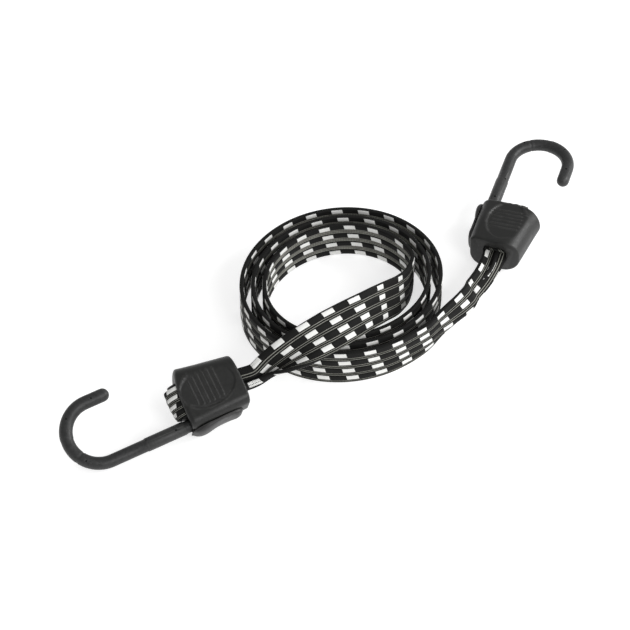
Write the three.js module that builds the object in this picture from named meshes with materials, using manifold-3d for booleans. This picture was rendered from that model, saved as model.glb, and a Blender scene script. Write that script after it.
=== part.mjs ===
// Flat adjustable bungee cord, coiled up on edge, with a hook unit at each end.
// Each unit is a plastic sleeve with a sliding wedge: the strap goes in at the mouth, round the
// wedge's nose and back, and the pull on the hook jams the wedge and the strap in the taper.
// Pushing the hook in by its thumb saddle lets the strap run.
// Millimetres. +X is right, +Y is away from the viewer, +Z is up, and Z = 0 is what it lies on.
// The origin is at floor level, below the middle of the box round the two hook units.

import * as THREE from 'three';
import { mergeVertices } from 'three/addons/utils/BufferGeometryUtils.js';
import Module from 'manifold-3d';

// Clearances and cuts
const seatGap = 0.3;
const cutOverrun = 4;

// Strap, woven elastic webbing
const strapWidth = 25;
const strapThickness = 2.6;
const strapEdgeBevel = 0.9;
const gatheredWidth = 13;
const gatheredThickness = 6;

// Coil, a spiral of the strap's outer face that is a little off centre and a little oval
const coilCentreX = 15.6;
const coilCentreY = 3.5;
const coilRadius = 44.85;
const coilTurnPitch = 6.88;
const coilShift = 4.67;
const coilShiftPerTurn = 0.23;
const coilShiftDegrees = 73.9;
const coilOval = 2.38;
const coilOvalDegrees = 45.3;
const coilStartDegrees = 30;
const coilEndDegrees = 1035;
const coilStepsPerTurn = 24;

// Routes of the two free stretches, chosen by hand. Each row holds x, y and z of the strap's
// middle, the lean of its upper edge to the left of travel in degrees, and the gathered share.
const leftRoute = [
  [-34.5, -66.8, 20.1, 62, 1],
  [-27.2, -63.5, 24.7, 58, 0.97],
  [-16.6, -60.7, 30.7, 50, 0.51],
  [-4.8, -57.1, 35.8, 42, 0.12],
  [6.9, -51.0, 38.6, 37, 0],
  [18.5, -43.6, 40.0, 32, 0],
  [30.0, -33.9, 38.8, 22, 0],
  [40.6, -18.4, 30.2, 15, 0],
  [50.2, -1.0, 19.2, 10, 0],
  [56.2, 13.0, 13.8, 4, 0],
];
const rightRoute = [
  [66.6, -29.2, 12.5, 2, 0.01],
  [72.8, -20.8, 12.8, 8, 0.07],
  [78.8, -12.8, 13.4, 19, 0.3],
  [84.6, -4.4, 13.8, 30, 0.68],
  [90.2, 4.0, 12.8, 40, 0.87],
  [95.8, 12.6, 11.6, 48, 0.97],
  [101.0, 21.1, 11.3, 57, 1],
  [105.6, 29.8, 11.8, 70, 1],
];
const leadStepsPerPoint = 3;
const insideMouth = 9.6;
const measureStep = 0.125;

// Places of the hook units: the mouth's plan position and how the unit lies on the floor
const leftPlace = { x: -43.39, y: -70, heading: 206.9, pitch: -5.64, roll: 26.98 };
const rightPlace = { x: 109.5, y: 39.2, heading: 71.43, pitch: 2.04, roll: 3.23 };

// Hook: a bent steel wire in a moulded coat, a little thicker on the shank. In a unit X runs from
// the saddle side to the far side, Y from the mouth to the hook and Z up through the ribbed face,
// with the shank on X = 0.
const coatDiameter = 7.4;
const coreDiameter = 4.5;
const shankReach = 46.7;
const curlRadius = 18.4;
const tipDrop = 14.5;
const coatInset = 11.5;
const sleeveDiameter = 8;
const sleeveStart = 1.5;
const sleeveEnd = 25.5;
const sleeveStep = 0.7;
const coreInset = 16;
const coreBendRadius = 4;
const coatSides = 12;
const coreSides = 8;
const curlSteps = 20;

// Housing, a moulded sleeve that is open at the hook end and has a slotted wall at the mouth
const housingReach = 38.5;
const hookEndInset = 1.1;
const hookEndSweep = 5.2;
const hookEndSweepPower = 3;
const mouthSweep = 1.2;
const sideAtHookEnd = 4.5;
const sideAtMouth = 3.6;
const farSideAtHookEnd = 33.7;
const farSideAtMouth = 27.7;
const bodyHalfThickness = 12;
const farCornerRadius = 10.5;
const upperSideRadius = 5.5;
const lowerSideRadius = 8.5;
const mouthRimRadius = 1.3;
const hookRimRadius = 2.4;
const outsideCornerSteps = 5;
const facetAtHookEnd = 10.2;
const facetRunOut = 34;
const boreSide = 2.4;
const boreFarSide = 25.6;
const boreFarRadius = 4.5;
const boreCornerRadius = 2.5;
const boreCornerSteps = 4;
const boreAtHookEnd = 8.1;
const boreAtMouth = 9.6;
const mouthWall = 2.2;
const mouthMiddleX = 12.3;
const mouthSlotWidth = 14.4;
const mouthSlotHeight = 10.6;
const mouthSlotRadius = 2.6;
const mouthSlotCornerSteps = 4;
const slotHalfWidth = 4.4;
const slotLength = 28;

// Grip ribs on the housing's face
const ribCount = 6;
const ribPitch = 3.1;
const ribWidth = 1.3;
const ribHeight = 0.35;
const ribLength = 18.4;
const ribMiddle = 12.6;
const ribInset = 9.5;

// Wedge
const wedgeSide = 4.6;
const wedgeWidth = 20.2;
const noseRadius = 4.8;
const noseReach = 1.3;
const wedgeBackHalfThickness = 5.6;
const wedgeBackInset = 24;
const wedgeBoreEndWall = 3.5;
const noseSteps = 10;

// Strap inside the unit: the loop round the wedge and the folded tail
const loopWidth = 18;
const loopSide = 5.1;
const loopRiseInset = 30.5;
const tailLength = 2.6;
const hemGap = 0.6;
const hemInset = 35.8;

// Bartack of sewing thread through the folded tail
const tackLength = 11.4;
const tackWidth = 1.2;

// Thumb saddle
const saddleHalfWidth = 8.3;
const saddleLength = 32;
const saddleInset = 0.5;
const saddleCrest = 8;
const saddleEdge = 0.5;
const saddleArcSteps = 10;
const saddleBulgePower = 0.6;
const saddleRibHalfWidth = 3.6;
const saddleRibLength = 18;
const saddleRibInset = 2;

const wasm = await Module();
wasm.setup();

const mm = (x, y, z) => new THREE.Vector3(x, y, z);
const mix = THREE.MathUtils.lerp;
const radians = THREE.MathUtils.degToRad;

// A closed body through rings of equal counts, with a flat cap on each end
function loft(rings) {
  const count = rings[0].length;
  const positions = rings.flat().flatMap((p) => p.toArray());
  const index = [];
  for (let r = 0; r < rings.length - 1; r += 1) {
    for (let i = 0; i < count; i += 1) {
      const a = r * count + i;
      const b = r * count + (i + 1) % count;
      index.push(a, b, b + count, a, b + count, a + count);
    }
  }
  for (const [ring, first] of [[rings[0], 0], [rings.at(-1), (rings.length - 1) * count]]) {
    const middle = ring.reduce((sum, p) => sum.add(p), mm(0, 0, 0)).divideScalar(count);
    const hub = positions.length / 3;
    positions.push(...middle.toArray());
    for (let i = 0; i < count; i += 1) {
      const a = first + i;
      const b = first + (i + 1) % count;
      index.push(...(first === 0 ? [hub, b, a] : [hub, a, b]));
    }
  }
  const geometry = new THREE.BufferGeometry();
  geometry.setAttribute('position', new THREE.Float32BufferAttribute(positions, 3));
  geometry.setIndex(index);
  return geometry;
}

// The same body as a solid that can be cut and joined, with its faces turned outwards
function solid(geometry) {
  const bare = geometry.clone();
  bare.deleteAttribute('normal');
  bare.deleteAttribute('uv');
  const merged = mergeVertices(bare);
  const vertProperties = new Float32Array(merged.attributes.position.array);
  const triVerts = new Uint32Array(merged.index.array);
  let volume = 0;
  const corner = [mm(0, 0, 0), mm(0, 0, 0), mm(0, 0, 0)];
  for (let i = 0; i < triVerts.length; i += 3) {
    corner.forEach((p, k) => p.fromArray(vertProperties, triVerts[i + k] * 3));
    volume += corner[0].dot(corner[1].clone().cross(corner[2]));
  }
  if (volume < 0) triVerts.reverse();
  return new wasm.Manifold(new wasm.Mesh({ numProp: 3, vertProperties, triVerts }));
}

function geometryOf(body) {
  const mesh = body.getMesh();
  const geometry = new THREE.BufferGeometry();
  geometry.setAttribute('position', new THREE.BufferAttribute(new Float32Array(mesh.vertProperties), 3));
  geometry.setIndex(new THREE.BufferAttribute(new Uint32Array(mesh.triVerts), 1));
  return geometry;
}

// A box between two corners
function block(low, high) {
  const size = high.clone().sub(low);
  const middle = low.clone().add(high).multiplyScalar(0.5);
  return solid(new THREE.BoxGeometry(size.x, size.y, size.z).translate(middle.x, middle.y, middle.z));
}

function named(name, geometry, look) {
  geometry.computeVertexNormals();
  const mesh = new THREE.Mesh(geometry, new THREE.MeshStandardMaterial(look));
  mesh.name = name;
  return mesh;
}

const coatLook = { color: 0x5c5d5e, roughness: 0.5, metalness: 0 };
const coreLook = { color: 0xa9abad, roughness: 0.35, metalness: 1 };
const housingLook = { color: 0x4a4b4c, roughness: 0.6, metalness: 0 };
const wedgeLook = { color: 0x38393a, roughness: 0.6, metalness: 0 };
const saddleLook = { color: 0x605d5e, roughness: 0.6, metalness: 0 };
const strapLook = { color: 0x1f1f1f, roughness: 0.85, metalness: 0 };
const threadLook = { color: 0x151515, roughness: 0.9, metalness: 0 };

// Where the housing's sizes stand, from 0 at the hook end to 1 at the mouth
const mouthShare = (y) => -y / housingReach;
const sideAt = (y) => -mix(sideAtHookEnd, sideAtMouth, mouthShare(y));
const farSideAt = (y) => mix(farSideAtHookEnd, farSideAtMouth, mouthShare(y));
const facetAt = (y) => mix(facetAtHookEnd, bodyHalfThickness, -y / facetRunOut);
const boreAt = (y) => mix(boreAtHookEnd, boreAtMouth, mouthShare(y));
const wedgeHalfAt = (y) => mix(noseRadius, wedgeBackHalfThickness, (noseReach - noseRadius - y)
  / (wedgeBackInset + noseReach - noseRadius));

// A rounded ring in the plane Y = y. The radii are those of the far side's two corners, then of
// the upper and the lower corner on the saddle's side.
function roundedRing(y, side, farSide, half, [farRadius, upperRadius, lowerRadius], stepsPerCorner) {
  const ring = [];
  const corners = [
    [farSide - farRadius, half - farRadius, farRadius, 0],
    [side + upperRadius, half - upperRadius, upperRadius, 90],
    [side + lowerRadius, lowerRadius - half, lowerRadius, 180],
    [farSide - farRadius, farRadius - half, farRadius, 270],
  ];
  for (const [x, z, radius, start] of corners) {
    for (let k = 0; k <= stepsPerCorner; k += 1) {
      const turn = radians(start + 90 * k / stepsPerCorner);
      ring.push(mm(x + radius * Math.cos(turn), y, z + radius * Math.sin(turn)));
    }
  }
  return ring;
}

// The housing's outside: a taper whose rims are rounded. The hook end sweeps back on the far side
// and the mouth end on the saddle's side.
const rimShares = [[0, 1], [0.3, 0.3], [1, 0]];
function housingOutside() {
  const ring = (y, inset) => {
    const radii = [farCornerRadius, upperSideRadius, lowerSideRadius].map((radius) => radius - inset);
    return roundedRing(
      y, sideAt(y) + inset, farSideAt(y) - inset, bodyHalfThickness - inset, radii, outsideCornerSteps);
  };
  const mouthRings = rimShares.map(([along, inset]) => ring(
    -housingReach + along * mouthRimRadius, inset * mouthRimRadius));
  for (const p of mouthRings.flat()) {
    p.y += mouthSweep * (Math.max(mouthMiddleX - p.x, 0) / (mouthMiddleX + sideAtMouth)) ** 2;
  }
  const hookRings = rimShares.toReversed().map(([along, inset]) => ring(
    -hookEndInset - along * hookRimRadius, inset * hookRimRadius));
  for (const p of hookRings.flat()) {
    p.y -= hookEndSweep * (Math.max(p.x, 0) / farSideAtHookEnd) ** hookEndSweepPower;
  }
  return solid(loft([...mouthRings, ...hookRings]));
}

// A slab that stays between the two sloping faces, at a given height below them
function betweenFacets(depth) {
  const near = cutOverrun;
  const far = -housingReach - cutOverrun;
  const left = -sideAtHookEnd - cutOverrun;
  const right = farSideAtHookEnd + cutOverrun;
  const ring = (y) => {
    const z = facetAt(y) - depth;
    return [mm(left, y, -z), mm(left, y, z), mm(right, y, z), mm(right, y, -z)];
  };
  return solid(loft([ring(near), ring(far)]));
}

function gripRibs() {
  const ribs = [];
  for (let k = 0; k < ribCount; k += 1) {
    const y = -ribInset - k * ribPitch;
    const top = facetAt(y) + ribHeight;
    const foot = facetAt(y) - ribWidth;
    const ring = (x) => [
      mm(x, y - ribWidth / 2, foot), mm(x, y + ribWidth / 2, foot),
      mm(x, y + ribWidth / 4, top), mm(x, y - ribWidth / 4, top)];
    ribs.push(solid(loft([ring(ribMiddle - ribLength / 2), ring(ribMiddle + ribLength / 2)])));
  }
  return ribs;
}

function housing(name) {
  const boreRadii = [boreFarRadius, boreCornerRadius, boreCornerRadius];
  const boreRing = (y) => roundedRing(
    y, -boreSide, boreFarSide, boreAt(y), boreRadii, boreCornerSteps);
  const bore = solid(loft([boreRing(cutOverrun), boreRing(mouthWall - housingReach)]));
  const mouthRadii = [mouthSlotRadius, mouthSlotRadius, mouthSlotRadius];
  const mouthSlotRing = (y) => roundedRing(
    y, mouthMiddleX - mouthSlotWidth / 2, mouthMiddleX + mouthSlotWidth / 2, mouthSlotHeight / 2, mouthRadii,
    mouthSlotCornerSteps);
  const mouthSlot = solid(loft([
    mouthSlotRing(mouthWall + cutOverrun - housingReach), mouthSlotRing(-housingReach - cutOverrun)]));
  const slot = block(
    mm(-sideAtHookEnd - cutOverrun, -hookEndInset - slotLength, -slotHalfWidth),
    mm(0, cutOverrun, slotHalfWidth));
  const shell = gripRibs().reduce((body, rib) => body.add(rib), housingOutside().intersect(betweenFacets(0)));
  return named(name, geometryOf(shell.subtract(bore).subtract(mouthSlot).subtract(slot)), housingLook);
}

// Rings round a flat path of [x, y, heading in degrees, radius] stations in the plane Z = 0
function wireRings(stations, sides) {
  return stations.map(([x, y, heading, radius]) => {
    const across = mm(-Math.sin(radians(heading)), Math.cos(radians(heading)), 0);
    const ring = [];
    for (let k = 0; k < sides; k += 1) {
      const turn = 2 * Math.PI * (k + 0.5) / sides;
      const p = across.clone().multiplyScalar(radius * Math.cos(turn));
      p.z = radius * Math.sin(turn);
      ring.push(p.add(mm(x, y, 0)));
    }
    return ring;
  });
}

// The curl and the tip, which ends in a half ball of the tube's own radius
function curlStations(radius, tipEnd) {
  const stations = [];
  for (let k = 0; k <= curlSteps; k += 1) {
    const turn = radians(180 - 180 * k / curlSteps);
    const heading = 90 - 180 * k / curlSteps;
    stations.push([
      curlRadius + curlRadius * Math.cos(turn), shankReach + curlRadius * Math.sin(turn), heading, radius]);
  }
  for (const degrees of [0, 30, 55, 78]) {
    const turn = radians(degrees);
    stations.push([2 * curlRadius, tipEnd + radius - radius * Math.sin(turn), -90, radius * Math.cos(turn)]);
  }
  return stations;
}

function hookCoat(name) {
  const tipEnd = shankReach - tipDrop;
  const outer = [
    [0, -coatInset, 90, coatDiameter / 2],
    [0, sleeveStart, 90, coatDiameter / 2],
    [0, sleeveStart + sleeveStep, 90, sleeveDiameter / 2],
    [0, sleeveEnd, 90, sleeveDiameter / 2],
    [0, sleeveEnd + sleeveStep, 90, coatDiameter / 2],
    ...curlStations(coatDiameter / 2, tipEnd)];
  const hollowRadius = coreDiameter / 2 + seatGap;
  const coverAtTip = (coatDiameter - coreDiameter) / 2 - seatGap;
  const hollow = [
    [0, -coatInset - cutOverrun, 90, hollowRadius], ...curlStations(hollowRadius, tipEnd + coverAtTip)];
  const body = solid(loft(wireRings(outer, coatSides))).subtract(solid(loft(wireRings(hollow, coatSides))));
  return named(name, geometryOf(body), coatLook);
}

function hookCore(name) {
  const radius = coreDiameter / 2;
  const bend = [[wedgeSide + wedgeWidth - wedgeBoreEndWall - seatGap, -coreInset, 180, radius]];
  for (let k = 0; k <= 4; k += 1) {
    const turn = radians(270 - 90 * k / 4);
    bend.push([
      coreBendRadius + coreBendRadius * Math.cos(turn),
      coreBendRadius - coreInset + coreBendRadius * Math.sin(turn),
      180 - 90 * k / 4, radius]);
  }
  const tipEnd = shankReach - tipDrop + (coatDiameter - coreDiameter) / 2;
  const rings = wireRings([...bend, ...curlStations(radius, tipEnd)], coreSides);
  return named(name, geometryOf(solid(loft(rings))), coreLook);
}

// The wedge's side view, with a round nose towards the hook, pressed out across the strap
function wedge(name) {
  const noseY = noseReach - noseRadius;
  const side = new THREE.Shape();
  for (let k = 0; k <= noseSteps; k += 1) {
    const turn = radians(-90 + 180 * k / noseSteps);
    const point = [noseY + noseRadius * Math.cos(turn), noseRadius * Math.sin(turn)];
    if (k === 0) side.moveTo(...point);
    else side.lineTo(...point);
  }
  side.lineTo(-wedgeBackInset, wedgeBackHalfThickness);
  side.lineTo(-wedgeBackInset, -wedgeBackHalfThickness);
  const pressed = new THREE.ExtrudeGeometry(side, { depth: wedgeWidth, bevelEnabled: false });
  pressed.applyMatrix4(new THREE.Matrix4().makeBasis(mm(0, 1, 0), mm(0, 0, 1), mm(1, 0, 0)));
  pressed.translate(wedgeSide, 0, 0);
  const wireHole = solid(loft(wireRings([
    [wedgeSide - cutOverrun, -coreInset, 0, coreDiameter / 2 + seatGap],
    [wedgeSide + wedgeWidth - wedgeBoreEndWall, -coreInset, 0, coreDiameter / 2 + seatGap],
  ], coreSides)));
  return named(name, geometryOf(solid(pressed).subtract(wireHole)), wedgeLook);
}

// A ring of the strap's section. T runs to its upper edge and N out of its outer face.
function strapRing(middle, upward, outward, width, thickness, sides) {
  const w = width / 2;
  const t = thickness / 2;
  const bevel = strapEdgeBevel * thickness / strapThickness;
  const eight = [
    [w, t / 2], [w - bevel, t], [bevel - w, t], [-w, t / 2],
    [-w, -t / 2], [bevel - w, -t], [w - bevel, -t], [w, -t / 2]];
  const six = [[w, 0], [w - bevel, t], [bevel - w, t], [-w, 0], [bevel - w, -t], [w - bevel, -t]];
  return (sides === 6 ? six : eight).map(([across, out]) => middle.clone()
    .addScaledVector(upward, across).addScaledVector(outward, out));
}

// The strap's rise from the mouth to the wedge's upper side: shares of the way and of the rise,
// heading in the YZ plane, gathered share
const riseShares = [[0.3, 0.18, 32, 0.9], [0.7, 0.7, 45, 0.45], [1, 1, 8, 0]];
const wedgeSideHeading = 2;

// Stations of the strap inside the unit: [y, z, heading in the YZ plane, gathered share]
function loopStations() {
  const noseY = noseReach - noseRadius;
  const rise = seatGap + strapThickness / 2;
  const runAt = (y) => wedgeHalfAt(y) + rise;
  const mouthY = mouthWall - housingReach + seatGap;
  const back = -loopRiseInset;
  const stations = [
    [mouthY, 0, 0, 1],
    ...riseShares.map(([way, height, heading, gathered]) => [
      mix(mouthY, back, way), height * runAt(back), heading, gathered]),
    [-wedgeBackInset, runAt(-wedgeBackInset), -wedgeSideHeading, 0],
  ];
  for (let k = 0; k <= noseSteps; k += 1) {
    const turn = radians(90 - 180 * k / noseSteps);
    const radius = noseRadius + rise;
    stations.push([noseY + radius * Math.cos(turn), radius * Math.sin(turn), -180 * k / noseSteps, 0]);
  }
  const foldRadius = (strapThickness + hemGap) / 2;
  const foldY = -hemInset + strapThickness / 2 + foldRadius;
  const low = -runAt(-wedgeBackInset);
  stations.push([-wedgeBackInset, low, 180, 0], [foldY + foldRadius, low, 180, 0]);
  for (const degrees of [0, 45, 90, 135, 180]) {
    const turn = radians(270 - degrees);
    stations.push([
      foldY + foldRadius * Math.cos(turn), low + foldRadius + foldRadius * Math.sin(turn), 180 - degrees, 0]);
  }
  stations.push([foldY + tailLength, low + 2 * foldRadius, 0, 0]);
  return {
    stations,
    tackY: foldY + tailLength / 2,
    hemLow: low - strapThickness / 2,
    hemHigh: low + 2 * foldRadius + strapThickness / 2,
  };
}

function strapLoop(name) {
  const { stations, tackY, hemLow, hemHigh } = loopStations();
  const rings = stations.map(([y, z, heading, gathered]) => {
    const width = mix(loopWidth, gatheredWidth, gathered);
    const thickness = mix(strapThickness, gatheredThickness, gathered);
    const x = mix(loopSide + loopWidth / 2, mouthMiddleX, gathered);
    const outward = mm(0, -Math.sin(radians(heading)), Math.cos(radians(heading)));
    return strapRing(mm(x, y, z), mm(1, 0, 0), outward, width, thickness, 8);
  });
  const tackX = loopSide + loopWidth / 2;
  const tackHole = block(
    mm(tackX - tackLength / 2 - seatGap, tackY - tackWidth / 2 - seatGap, hemLow - cutOverrun),
    mm(tackX + tackLength / 2 + seatGap, tackY + tackWidth / 2 + seatGap, hemHigh + seatGap));
  return named(name, geometryOf(solid(loft(rings)).subtract(tackHole)), strapLook);
}

function bartack(name) {
  const { tackY, hemLow, hemHigh } = loopStations();
  const x = loopSide + loopWidth / 2;
  const body = block(
    mm(x - tackLength / 2, tackY - tackWidth / 2, hemLow),
    mm(x + tackLength / 2, tackY + tackWidth / 2, hemHigh));
  return named(name, geometryOf(body), threadLook);
}

// The saddle's crest line and outline: shares of its length from the hook end, of its crest
// height and of its half width
const crestShares = [
  [0, 0.58, 0.36], [0.06, 0.81, 0.62], [0.12, 0.94, 0.8], [0.2, 1, 0.93], [0.29, 0.975, 1], [0.42, 0.865, 1],
  [0.52, 0.79, 1], [0.64, 0.765, 1], [0.78, 0.795, 0.95], [0.9, 0.835, 0.82], [0.96, 0.75, 0.66], [1, 0.6, 0.45]];

// The saddle's cap over the housing's narrow side, with a rib cupped over the coat in the slot
function thumbSaddle(name) {
  const rings = crestShares.map(([alongShare, crestShare, widthShare]) => {
    const y = -saddleInset - alongShare * saddleLength;
    const inner = sideAt(y) - seatGap;
    const foot = inner - saddleEdge;
    const half = saddleHalfWidth * widthShare;
    const ring = [mm(inner, y, half)];
    for (let k = 0; k <= saddleArcSteps; k += 1) {
      const turn = radians(90 - 180 * k / saddleArcSteps);
      const bulge = Math.cos(turn) ** saddleBulgePower;
      ring.push(mm(mix(foot, -saddleCrest * crestShare, bulge), y, half * Math.sin(turn)));
    }
    ring.push(mm(inner, y, -half));
    return ring;
  });
  const coatRoom = solid(loft(wireRings([
    [0, cutOverrun, 90, coatDiameter / 2 + seatGap],
    [0, -saddleLength - cutOverrun, 90, coatDiameter / 2 + seatGap]], coatSides)));
  const ribStart = -saddleInset - saddleRibInset;
  const rib = block(
    mm(-sideAtHookEnd - seatGap - saddleEdge / 2, ribStart - saddleRibLength, -saddleRibHalfWidth),
    mm(-boreSide, ribStart, saddleRibHalfWidth));
  return named(name, geometryOf(solid(loft(rings)).add(rib.subtract(coatRoom))), saddleLook);
}

// One hook unit in its own frame: what stays on the strap, and what slides with the hook
function hookUnit(side) {
  const held = new THREE.Group();
  held.add(housing(`housing_${side}`), strapLoop(`strap_loop_${side}`), bartack(`tail_bartack_${side}`));
  const sliding = new THREE.Group();
  sliding.add(
    hookCoat(`hook_coat_${side}`), hookCore(`hook_core_${side}`),
    wedge(`wedge_${side}`), thumbSaddle(`thumb_saddle_${side}`));
  const unit = new THREE.Group();
  unit.add(held, sliding);
  return unit;
}

// Turn a unit to its heading, pitch and roll, put its mouth over its place and let it down until
// its lowest point is on the floor
function layDown(unit, place) {
  const [heading, pitch, roll] = [place.heading, place.pitch, place.roll].map(radians);
  const along = mm(
    Math.cos(heading) * Math.cos(pitch), Math.sin(heading) * Math.cos(pitch), Math.sin(pitch));
  const level = mm(Math.sin(heading), -Math.cos(heading), 0);
  const across = level.clone().multiplyScalar(Math.cos(roll))
    .addScaledVector(level.clone().cross(along), Math.sin(roll));
  const up = across.clone().cross(along);
  unit.quaternion.setFromRotationMatrix(new THREE.Matrix4().makeBasis(across, along, up));
  const mouth = mm(mouthMiddleX, -housingReach, 0).applyQuaternion(unit.quaternion);
  unit.position.set(place.x - mouth.x, place.y - mouth.y, 0);
  unit.updateMatrixWorld(true);
  unit.position.z = -new THREE.Box3().setFromObject(unit, true).min.z;
  unit.updateMatrixWorld(true);
  const inner = mm(mouthMiddleX, mouthWall - housingReach, 0).applyMatrix4(unit.matrixWorld);
  return { mouth: mouth.add(unit.position), inner, along, across, up };
}

// A station of the strap: its middle, the lean of its upper edge and its gathered share
const station = (p, lean, gathered) => ({ p, lean, gathered });

// Level direction to the left of travel, and the upward direction square to it and to travel
function sideways(travel) {
  const left = mm(0, 0, 1).cross(travel).normalize();
  return { left, up: travel.clone().cross(left) };
}

function leanOf(travel, upperEdge) {
  const { left, up } = sideways(travel);
  return THREE.MathUtils.radToDeg(Math.atan2(upperEdge.dot(left), upperEdge.dot(up)));
}

// The strap's middle on the coil
function coilPoint(degrees) {
  const turns = degrees / 360;
  const faceRadius = coilRadius + coilTurnPitch * turns
    + (coilShift + coilShiftPerTurn * turns) * Math.cos(radians(degrees - coilShiftDegrees))
    + coilOval * Math.cos(2 * radians(degrees - coilOvalDegrees));
  const radius = faceRadius - strapThickness / 2;
  return mm(
    coilCentreX + radius * Math.cos(radians(degrees)),
    coilCentreY + radius * Math.sin(radians(degrees)), strapWidth / 2);
}

const left = hookUnit('left');
const right = hookUnit('right');
const leftEnd = layDown(left, leftPlace);
const rightEnd = layDown(right, rightPlace);

// The whole strap from one housing to the other, with a station inside each mouth
const leftLean = leanOf(leftEnd.along.clone().negate(), leftEnd.across);
const rightLean = leanOf(rightEnd.along, rightEnd.across.clone().negate());
const coilSteps = Math.round((coilEndDegrees - coilStartDegrees) * coilStepsPerTurn / 360);
const coilStations = Array.from({ length: coilSteps + 1 }, (_, k) => station(
  coilPoint(mix(coilStartDegrees, coilEndDegrees, k / coilSteps)), 0, 0));
const routeStations = (route) => route.map(([x, y, z, lean, gathered]) => station(
  mm(x, y, z), lean, gathered));
const strap = [
  station(leftEnd.mouth.clone().addScaledVector(leftEnd.along, insideMouth), leftLean, 1),
  station(leftEnd.mouth, leftLean, 1),
  ...routeStations(leftRoute),
  ...coilStations,
  ...routeStations(rightRoute),
  station(rightEnd.mouth, rightLean, 1),
  station(rightEnd.mouth.clone().addScaledVector(rightEnd.along, insideMouth), rightLean, 1),
];
const strapCurve = new THREE.CatmullRomCurve3(strap.map((s) => s.p));
const coilFirst = leftRoute.length + 2;
const coilLast = coilFirst + coilSteps;

// The strap at a place counted in stations: its middle, directions and section
function strapAt(place) {
  const i = Math.min(Math.floor(place), strap.length - 2);
  const share = place - i;
  const travel = strapCurve.getTangent(place / (strap.length - 1));
  const lean = radians(mix(strap[i].lean, strap[i + 1].lean, share));
  const { left: leftward, up } = sideways(travel);
  const upward = up.multiplyScalar(Math.cos(lean)).addScaledVector(leftward, Math.sin(lean));
  const gathered = mix(strap[i].gathered, strap[i + 1].gathered, share);
  return {
    middle: strapCurve.getPoint(place / (strap.length - 1)),
    travel,
    upward,
    outward: travel.clone().cross(upward),
    width: mix(strapWidth, gatheredWidth, gathered),
    thickness: mix(strapThickness, gatheredThickness, gathered),
  };
}

const ringAt = (at, ahead, sides) => strapRing(
  at.middle.clone().addScaledVector(at.travel, ahead), at.upward, at.outward, at.width, at.thickness, sides);

// The strap's section where it meets a unit's mouth, square to the unit
const mouthRing = (end, upperSign) => strapRing(
  end.inner, end.across.clone().multiplyScalar(upperSign), end.up, gatheredWidth, gatheredThickness, 8);

// A free stretch between two stations. One end is square in a mouth, and the other stops a seat
// gap short of the coil's straight end.
function lead(name, first, last, end, upperSign) {
  const steps = (last - first) * leadStepsPerPoint;
  const coilSign = first === coilLast ? 1 : -1;
  const rings = Array.from({ length: steps + 1 }, (_, k) => ringAt(
    strapAt(mix(first, last, k / steps)), 0, 8));
  const mouthIndex = coilSign > 0 ? steps : 0;
  rings[mouthIndex] = mouthRing(end, upperSign);
  rings[steps - mouthIndex] = ringAt(
    strapAt(coilSign > 0 ? first : last), coilSign * (strapThickness + seatGap), 8);
  return named(name, geometryOf(solid(loft(rings))), strapLook);
}

function coil(name) {
  const rings = [ringAt(strapAt(coilFirst), -strapThickness, 6)];
  for (let k = coilFirst; k <= coilLast; k += 1) rings.push(ringAt(strapAt(k), 0, 6));
  rings.push(ringAt(strapAt(coilLast), strapThickness, 6));
  return named(name, geometryOf(solid(loft(rings))), strapLook);
}

// The least gap of the coil to itself, between points that are over half a turn apart
function leastCoilGap() {
  const points = [];
  for (let place = coilFirst; place <= coilLast; place += measureStep) {
    points.push({ place, p: strapAt(place).middle });
  }
  let least = Infinity;
  for (const a of points) {
    for (const b of points) {
      if (b.place - a.place > coilStepsPerTurn / 2) least = Math.min(least, a.p.distanceTo(b.p));
    }
  }
  return least - strapThickness;
}

function runLength(first, last) {
  let total = 0;
  for (let place = first; place < last; place += measureStep) {
    total += strapAt(place).middle.distanceTo(strapAt(Math.min(place + measureStep, last)).middle);
  }
  return total;
}

const mouthLeft = 1;
const mouthRight = strap.length - 2;
console.log('least gap of the coil to itself, mm:', leastCoilGap().toFixed(2));
console.log('strap lengths, mm:', runLength(mouthLeft, coilFirst).toFixed(1),
  runLength(coilFirst, coilLast).toFixed(1), runLength(coilLast, mouthRight).toFixed(1));

const assembly = new THREE.Group();
assembly.add(left, right,
  lead('strap_lead_left', mouthLeft, coilFirst, leftEnd, 1),
  coil('strap_coil'),
  lead('strap_lead_right', coilLast, mouthRight, rightEnd, -1));

// Move the whole so that the origin is below the middle of the two units
const span = new THREE.Box3().setFromObject(left, true).union(new THREE.Box3().setFromObject(right, true));
const middle = span.getCenter(mm(0, 0, 0));
assembly.position.set(-middle.x, -middle.y, -span.min.z);
console.log('plan shift, mm:', assembly.position.x.toFixed(3), assembly.position.y.toFixed(3));
assembly.updateMatrixWorld(true);

export default assembly;
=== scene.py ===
import math

import bmesh
import bpy
import numpy as np
from mathutils import Matrix, Vector


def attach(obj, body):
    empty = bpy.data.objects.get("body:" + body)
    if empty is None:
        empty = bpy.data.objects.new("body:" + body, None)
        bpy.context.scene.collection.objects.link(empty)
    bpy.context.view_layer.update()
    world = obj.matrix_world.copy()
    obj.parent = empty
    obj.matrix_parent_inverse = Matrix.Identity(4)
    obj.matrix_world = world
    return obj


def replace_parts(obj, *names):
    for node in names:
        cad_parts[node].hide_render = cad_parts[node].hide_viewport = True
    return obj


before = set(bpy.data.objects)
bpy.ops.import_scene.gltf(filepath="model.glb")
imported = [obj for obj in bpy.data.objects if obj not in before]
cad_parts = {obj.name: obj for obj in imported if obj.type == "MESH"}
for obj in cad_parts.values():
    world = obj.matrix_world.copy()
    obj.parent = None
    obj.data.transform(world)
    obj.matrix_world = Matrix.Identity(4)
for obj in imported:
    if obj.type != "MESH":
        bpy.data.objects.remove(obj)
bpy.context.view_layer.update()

# Camera
# The photograph looks down at 46 degrees from a little over a metre away, through a long lens.
PHOTO_PIXELS = 630
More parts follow.
